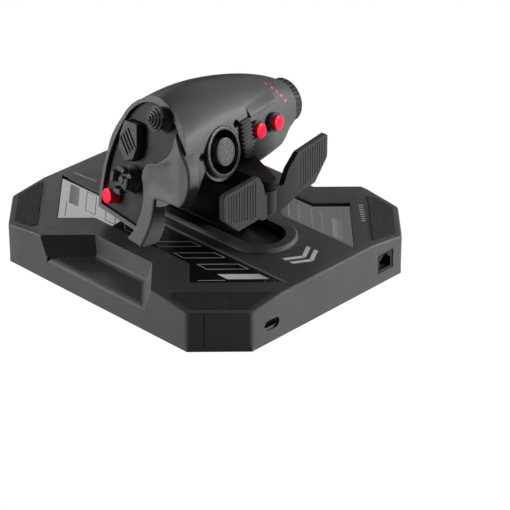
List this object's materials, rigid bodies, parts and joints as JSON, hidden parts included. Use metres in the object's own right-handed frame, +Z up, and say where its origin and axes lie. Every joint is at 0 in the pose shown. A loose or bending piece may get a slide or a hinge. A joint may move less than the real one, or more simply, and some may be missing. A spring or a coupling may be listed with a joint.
{
  "type": "throttle quadrant",
  "caption": "Desktop throttle: a hand grip with stick, hats, buttons, dial and paddle rocker on a slide in an eight-sided weighted base.",
  "frame": {"origin": "middle of the base footprint, at the level of the rubber feet", "axes": "+X is the side the thumb is on, +Y is away from the user, along the slide, +Z is up"},
  "size_m": [0.18, 0.205, 0.12],
  "materials": {
    "base_shell": "fine spark-textured black moulding",
    "grip_shell": "satin black moulding",
    "control_plastic": "satin black",
    "gloss_inlay": "polished black",
    "rubber": "textured rubber",
    "steel": "turned steel",
    "brass": "plain",
    "board": "solder resist",
    "red_button": "polished red"
  },
  "bodies": {
    "base": {"base_housing": "base_shell", "bottom_cover": "base_shell", "right_inlay": "gloss_inlay", "left_inlay": "gloss_inlay", "slot_bezel": "base_shell", "corner_pads": "rubber", "slide_frame": "steel", "tray_spacers": "base_shell", "slide_rails": "steel", "mount_inserts": "brass", "cover_screws": "steel", "rubber_feet": "rubber", "usb_socket": "steel", "link_jack": "base_shell", "base_board": "board", "ballast_plates": "steel", "position_sensor": "board", "tension_screw": "steel"},
    "carriage": {"carriage_block": "base_shell", "slide_bushes": "brass", "dust_shutter": "base_shell", "neck": "base_shell", "grip_front_shell": "grip_shell", "grip_rear_shell": "grip_shell", "thumb_panel": "base_shell", "thumb_rest": "control_plastic", "rocker_arm": "base_shell", "rocker_pin": "steel", "stick_ring": "gloss_inlay", "stick_floor": "base_shell", "button_bezels": "base_shell", "grip_screws": "steel", "hat_collars": "base_shell", "button_switches": "control_plastic", "dial_pin": "steel", "grip_board": "board"},
    "paddles": {"paddle_rocker": "control_plastic"},
    "stick_gimbal": {"stick_gimbal": "control_plastic"},
    "stick": {"stick_cap": "control_plastic"},
    "mushroom_gimbal": {"mushroom_gimbal": "control_plastic"},
    "mushroom": {"mushroom_hat": "control_plastic"},
    "castle_gimbal": {"castle_gimbal": "control_plastic"},
    "castle": {"castle_hat": "control_plastic"},
    "thumb_rocker": {"thumb_rocker": "control_plastic"},
    "finger_rocker": {"finger_rocker": "control_plastic"},
    "thumb_button": {"thumb_button": "red_button"},
    "inner_button": {"front_button_inner": "red_button"},
    "outer_button": {"front_button_outer": "red_button"},
    "dial": {"dial_wheel": "control_plastic"}
  },
  "joints": [
    {"name": "throttle_slide", "type": "slide", "parent": "base", "child": "carriage", "axis": [0, 1, 0], "range_m": [-0.03, 0.03]},
    {"name": "paddle_swing", "type": "hinge", "parent": "carriage", "child": "paddles", "pos_m": [-0.001, 0.0515, 0.06], "axis": [0, 0, 1], "range_deg": [-12, 12], "stiffness_Nm_per_rad": 0.3},
    {"name": "stick_tilt", "type": "hinge", "parent": "carriage", "child": "stick_gimbal", "pos_m": [0.01763, 0.02351, 0.08415], "axis": [-0.9895, -0.1443, 0], "range_deg": [-16, 16], "stiffness_Nm_per_rad": 0.03},
    {"name": "stick_sweep", "type": "hinge", "parent": "stick_gimbal", "child": "stick", "pos_m": [0.01763, 0.02351, 0.08415], "axis": [0.036, -0.2469, 0.9684], "range_deg": [-16, 16], "stiffness_Nm_per_rad": 0.03},
    {"name": "mushroom_tilt", "type": "hinge", "parent": "carriage", "child": "mushroom_gimbal", "pos_m": [0.03578, 0.00759, 0.10634], "axis": [0.1508, 0.9886, 0], "range_deg": [-8, 8], "stiffness_Nm_per_rad": 0.03},
    {"name": "mushroom_sweep", "type": "hinge", "parent": "mushroom_gimbal", "child": "mushroom", "pos_m": [0.03578, 0.00759, 0.10634], "axis": [-0.2435, 0.0371, 0.9692], "range_deg": [-8, 8], "stiffness_Nm_per_rad": 0.03},
    {"name": "castle_tilt", "type": "hinge", "parent": "carriage", "child": "castle_gimbal", "pos_m": [0.04397, -0.01167, 0.06302], "axis": [0.1508, 0.9886, 0], "range_deg": [-8, 8], "stiffness_Nm_per_rad": 0.03},
    {"name": "castle_sweep", "type": "hinge", "parent": "castle_gimbal", "child": "castle", "pos_m": [0.04397, -0.01167, 0.06302], "axis": [-0.2435, 0.0371, 0.9692], "range_deg": [-8, 8], "stiffness_Nm_per_rad": 0.03},
    {"name": "thumb_rock", "type": "hinge", "parent": "carriage", "child": "thumb_rocker", "pos_m": [0.03875, -0.01532, 0.08444], "axis": [0.1508, 0.9886, 0], "range_deg": [-4, 4], "stiffness_Nm_per_rad": 0.03},
    {"name": "finger_rock", "type": "hinge", "parent": "carriage", "child": "finger_rocker", "pos_m": [-0.00589, 0.02645, 0.08556], "axis": [-0.9899, -0.1414, 0], "range_deg": [-4, 4], "stiffness_Nm_per_rad": 0.03},
    {"name": "thumb_press", "type": "slide", "parent": "carriage", "child": "thumb_button", "axis": [-0.9581, 0.1462, -0.2463], "range_m": [0, 0.0012], "stiffness_N_per_m": 600},
    {"name": "inner_press", "type": "slide", "parent": "carriage", "child": "inner_button", "axis": [0.1402, -0.9815, -0.1302], "range_m": [0, 0.0012], "stiffness_N_per_m": 600},
    {"name": "outer_press", "type": "slide", "parent": "carriage", "child": "outer_button", "axis": [0.1402, -0.9815, -0.1302], "range_m": [0, 0.0012], "stiffness_N_per_m": 600},
    {"name": "dial_turn", "type": "hinge", "parent": "carriage", "child": "dial", "pos_m": [-0.0594, 0.005, 0.0832], "axis": [-1, 0, 0], "range_deg": [-60, 60]}
  ]
}
